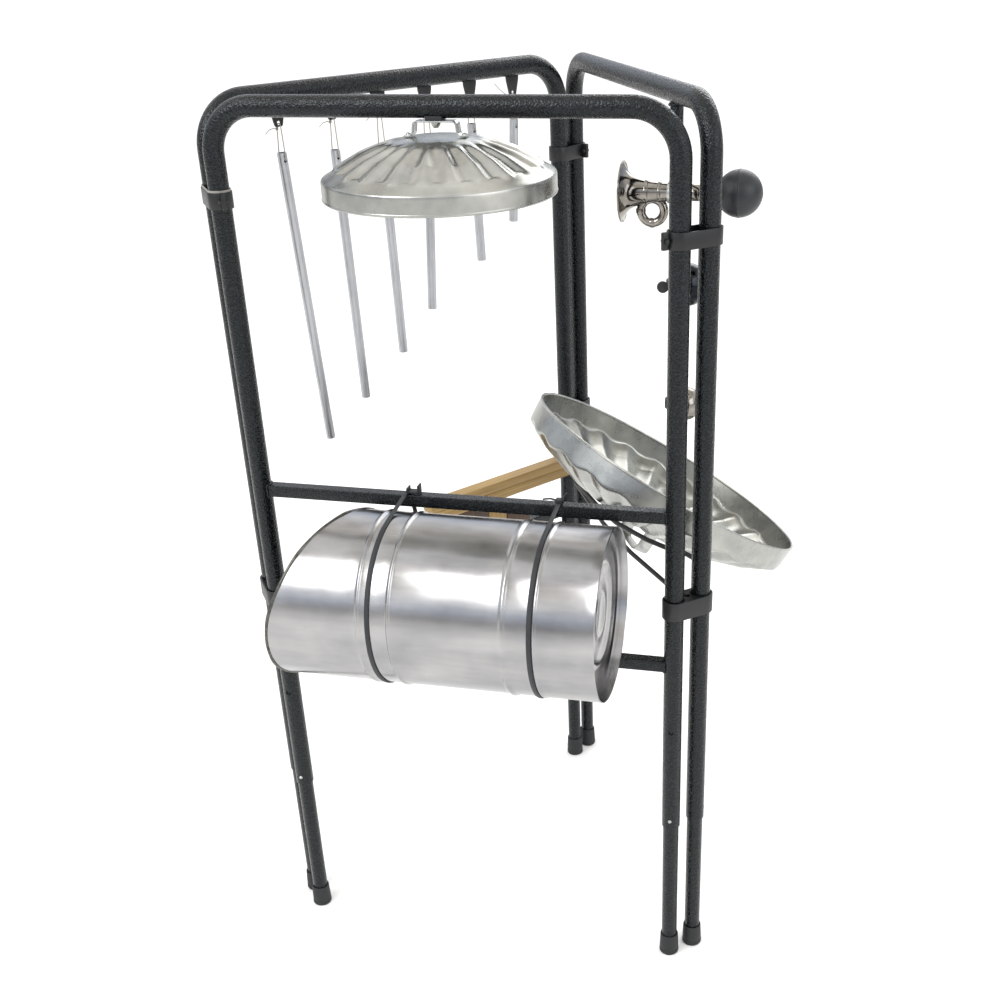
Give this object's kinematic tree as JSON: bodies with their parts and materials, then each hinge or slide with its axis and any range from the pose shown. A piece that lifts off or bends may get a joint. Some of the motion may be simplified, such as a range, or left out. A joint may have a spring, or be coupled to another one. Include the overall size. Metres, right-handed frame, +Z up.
{
  "type": "percussion stand",
  "caption": "Free-standing three-sided tube frame carrying hanging chimes, metal lids, a coal hod, a bulb horn, bells and a wooden scraper for striking and scraping.",
  "frame": {"origin": "on the floor under the middle of the whole object's bounding box", "axes": "+Z up, +X to the right along the front panel as the player faces it, +Y from the front panel to the rear corner"},
  "size_m": [0.7348, 0.7154, 1.2127],
  "materials": {
    "hammered_frame": "dark grey hammered powder coat",
    "black_strap": "satin black",
    "black_rubber": "matte",
    "brushed_aluminium": "lightly brushed",
    "galvanised_tin": "bright rolled sheet",
    "plated_steel": "bright plated",
    "white_cord": "twisted cord",
    "pale_wood": "planed softwood",
    "dark_wood": "oiled dark hardwood"
  },
  "bodies": {
    "stand": {"front_frame": "hammered_frame", "left_frame": "hammered_frame", "right_frame": "hammered_frame", "strap_front_left": "black_strap", "strap_front_right": "black_strap", "strap_rear": "black_strap", "clip_front_left": "black_strap", "clip_front_right": "black_strap", "clip_rear": "black_strap", "lid_saddle": "black_rubber", "lid_bolt": "plated_steel", "hod": "galvanised_tin", "hod_tie_1": "black_strap", "hod_tie_2": "black_strap", "dish_lid": "galvanised_tin", "dish_handle": "galvanised_tin", "horn": "plated_steel", "horn_clamp": "plated_steel", "bell_base": "black_strap", "bell_dome": "plated_steel", "small_bell_base": "black_strap", "small_bell_dome": "plated_steel", "scraper_top_rail": "pale_wood", "scraper_bar_1": "dark_wood", "scraper_bar_2": "pale_wood", "scraper_bar_3": "dark_wood"},
    "lid": {"hanging_lid": "galvanised_tin", "lid_handle": "galvanised_tin"},
    "leg_front_left": {"leg_front_left": "hammered_frame", "foot_front_left": "black_rubber"},
    "button_front_left": {"button_front_left": "plated_steel"},
    "leg_front_right": {"leg_front_right": "hammered_frame", "foot_front_right": "black_rubber"},
    "button_front_right": {"button_front_right": "plated_steel"},
    "leg_right_front": {"leg_right_front": "hammered_frame", "foot_right_front": "black_rubber"},
    "button_right_front": {"button_right_front": "plated_steel"},
    "leg_right_rear": {"leg_right_rear": "hammered_frame", "foot_right_rear": "black_rubber"},
    "button_right_rear": {"button_right_rear": "plated_steel"},
    "leg_left_rear": {"leg_left_rear": "hammered_frame", "foot_left_rear": "black_rubber"},
    "button_left_rear": {"button_left_rear": "plated_steel"},
    "leg_left_front": {"leg_left_front": "hammered_frame", "foot_left_front": "black_rubber"},
    "button_left_front": {"button_left_front": "plated_steel"},
    "cord_1": {"cord_1": "white_cord"},
    "chime_1": {"chime_1": "brushed_aluminium"},
    "cord_2": {"cord_2": "white_cord"},
    "chime_2": {"chime_2": "brushed_aluminium"},
    "cord_3": {"cord_3": "white_cord"},
    "chime_3": {"chime_3": "brushed_aluminium"},
    "cord_4": {"cord_4": "white_cord"},
    "chime_4": {"chime_4": "brushed_aluminium"},
    "cord_5": {"cord_5": "white_cord"},
    "chime_5": {"chime_5": "brushed_aluminium"},
    "cord_6": {"cord_6": "white_cord"},
    "chime_6": {"chime_6": "brushed_aluminium"},
    "lever": {"bell_lever": "black_strap"},
    "bulb": {"horn_bulb": "black_rubber"}
  },
  "joints": [
    {"name": "leg_front_left_slide", "type": "slide", "parent": "stand", "child": "leg_front_left", "axis": [0, 0, 1], "range_m": [0, 0.15], "deforming": ["button_front_left"]},
    {"name": "button_front_left_press", "type": "slide", "parent": "leg_front_left", "child": "button_front_left", "axis": [0, 1, 0], "range_m": [0, 0.003], "stiffness_N_per_m": 600},
    {"name": "leg_front_right_slide", "type": "slide", "parent": "stand", "child": "leg_front_right", "axis": [0, 0, 1], "range_m": [0, 0.15], "deforming": ["button_front_right"]},
    {"name": "button_front_right_press", "type": "slide", "parent": "leg_front_right", "child": "button_front_right", "axis": [0, 1, 0], "range_m": [0, 0.003], "stiffness_N_per_m": 600},
    {"name": "leg_right_front_slide", "type": "slide", "parent": "stand", "child": "leg_right_front", "axis": [0, 0, 1], "range_m": [0, 0.15], "deforming": ["button_right_front"]},
    {"name": "button_right_front_press", "type": "slide", "parent": "leg_right_front", "child": "button_right_front", "axis": [-0.8788, -0.4772, 0], "range_m": [0, 0.003], "stiffness_N_per_m": 600},
    {"name": "leg_right_rear_slide", "type": "slide", "parent": "stand", "child": "leg_right_rear", "axis": [0, 0, 1], "range_m": [0, 0.15], "deforming": ["button_right_rear"]},
    {"name": "button_right_rear_press", "type": "slide", "parent": "leg_right_rear", "child": "button_right_rear", "axis": [-0.8788, -0.4772, 0], "range_m": [0, 0.003], "stiffness_N_per_m": 600},
    {"name": "leg_left_rear_slide", "type": "slide", "parent": "stand", "child": "leg_left_rear", "axis": [0, 0, 1], "range_m": [0, 0.15], "deforming": ["button_left_rear"]},
    {"name": "button_left_rear_press", "type": "slide", "parent": "leg_left_rear", "child": "button_left_rear", "axis": [0.807, -0.5906, 0], "range_m": [0, 0.003], "stiffness_N_per_m": 600},
    {"name": "leg_left_front_slide", "type": "slide", "parent": "stand", "child": "leg_left_front", "axis": [0, 0, 1], "range_m": [0, 0.15], "deforming": ["button_left_front"]},
    {"name": "button_left_front_press", "type": "slide", "parent": "leg_left_front", "child": "button_left_front", "axis": [0.807, -0.5906, 0], "range_m": [0, 0.003], "stiffness_N_per_m": 600},
    {"name": "cord_1_swing", "type": "hinge", "parent": "stand", "child": "cord_1", "pos_m": [-0.29263, -0.06366, 1.1647], "axis": [0.5906, 0.807, 0], "range_deg": [-20, 20]},
    {"name": "chime_1_tilt", "type": "hinge", "parent": "cord_1", "child": "chime_1", "pos_m": [-0.29263, -0.06366, 1.121], "axis": [0.807, -0.5906, 0], "range_deg": [-8, 8]},
    {"name": "cord_2_swing", "type": "hinge", "parent": "stand", "child": "cord_2", "pos_m": [-0.24656, -0.00072, 1.1647], "axis": [0.5906, 0.807, 0], "range_deg": [-20, 20]},
    {"name": "chime_2_tilt", "type": "hinge", "parent": "cord_2", "child": "chime_2", "pos_m": [-0.24656, -0.00072, 1.115], "axis": [0.807, -0.5906, 0], "range_deg": [-8, 8]},
    {"name": "cord_3_swing", "type": "hinge", "parent": "stand", "child": "cord_3", "pos_m": [-0.20403, 0.05738, 1.1647], "axis": [0.5906, 0.807, 0], "range_deg": [-20, 20]},
    {"name": "chime_3_tilt", "type": "hinge", "parent": "cord_3", "child": "chime_3", "pos_m": [-0.20403, 0.05738, 1.112], "axis": [0.807, -0.5906, 0], "range_deg": [-8, 8]},
    {"name": "cord_4_swing", "type": "hinge", "parent": "stand", "child": "cord_4", "pos_m": [-0.15974, 0.11791, 1.1647], "axis": [0.5906, 0.807, 0], "range_deg": [-20, 20]},
    {"name": "chime_4_tilt", "type": "hinge", "parent": "cord_4", "child": "chime_4", "pos_m": [-0.15974, 0.11791, 1.111], "axis": [0.807, -0.5906, 0], "range_deg": [-8, 8]},
    {"name": "cord_5_swing", "type": "hinge", "parent": "stand", "child": "cord_5", "pos_m": [-0.11485, 0.17924, 1.1647], "axis": [0.5906, 0.807, 0], "range_deg": [-20, 20]},
    {"name": "chime_5_tilt", "type": "hinge", "parent": "cord_5", "child": "chime_5", "pos_m": [-0.11485, 0.17924, 1.123], "axis": [0.807, -0.5906, 0], "range_deg": [-8, 8]},
    {"name": "cord_6_swing", "type": "hinge", "parent": "stand", "child": "cord_6", "pos_m": [-0.07056, 0.23976, 1.1647], "axis": [0.5906, 0.807, 0], "range_deg": [-20, 20]},
    {"name": "chime_6_tilt", "type": "hinge", "parent": "cord_6", "child": "chime_6", "pos_m": [-0.07056, 0.23976, 1.121], "axis": [0.807, -0.5906, 0], "range_deg": [-8, 8]},
    {"name": "lid_swivel", "type": "hinge", "parent": "stand", "child": "lid", "pos_m": [-0.04769, -0.17686, 1.181], "axis": [0, 0, 1], "continuous": true},
    {"name": "bell_lever_flick", "type": "hinge", "parent": "stand", "child": "lever", "pos_m": [0.22615, -0.06344, 0.975], "axis": [0, 0, 1], "range_deg": [0, 30], "stiffness_Nm_per_rad": 0.05},
    {"name": "bulb_squeeze", "type": "slide", "parent": "stand", "child": "bulb", "axis": [-1, 0, 0], "range_m": [0, 0.018], "stiffness_N_per_m": 700, "deforming": ["horn_bulb"]}
  ]
}
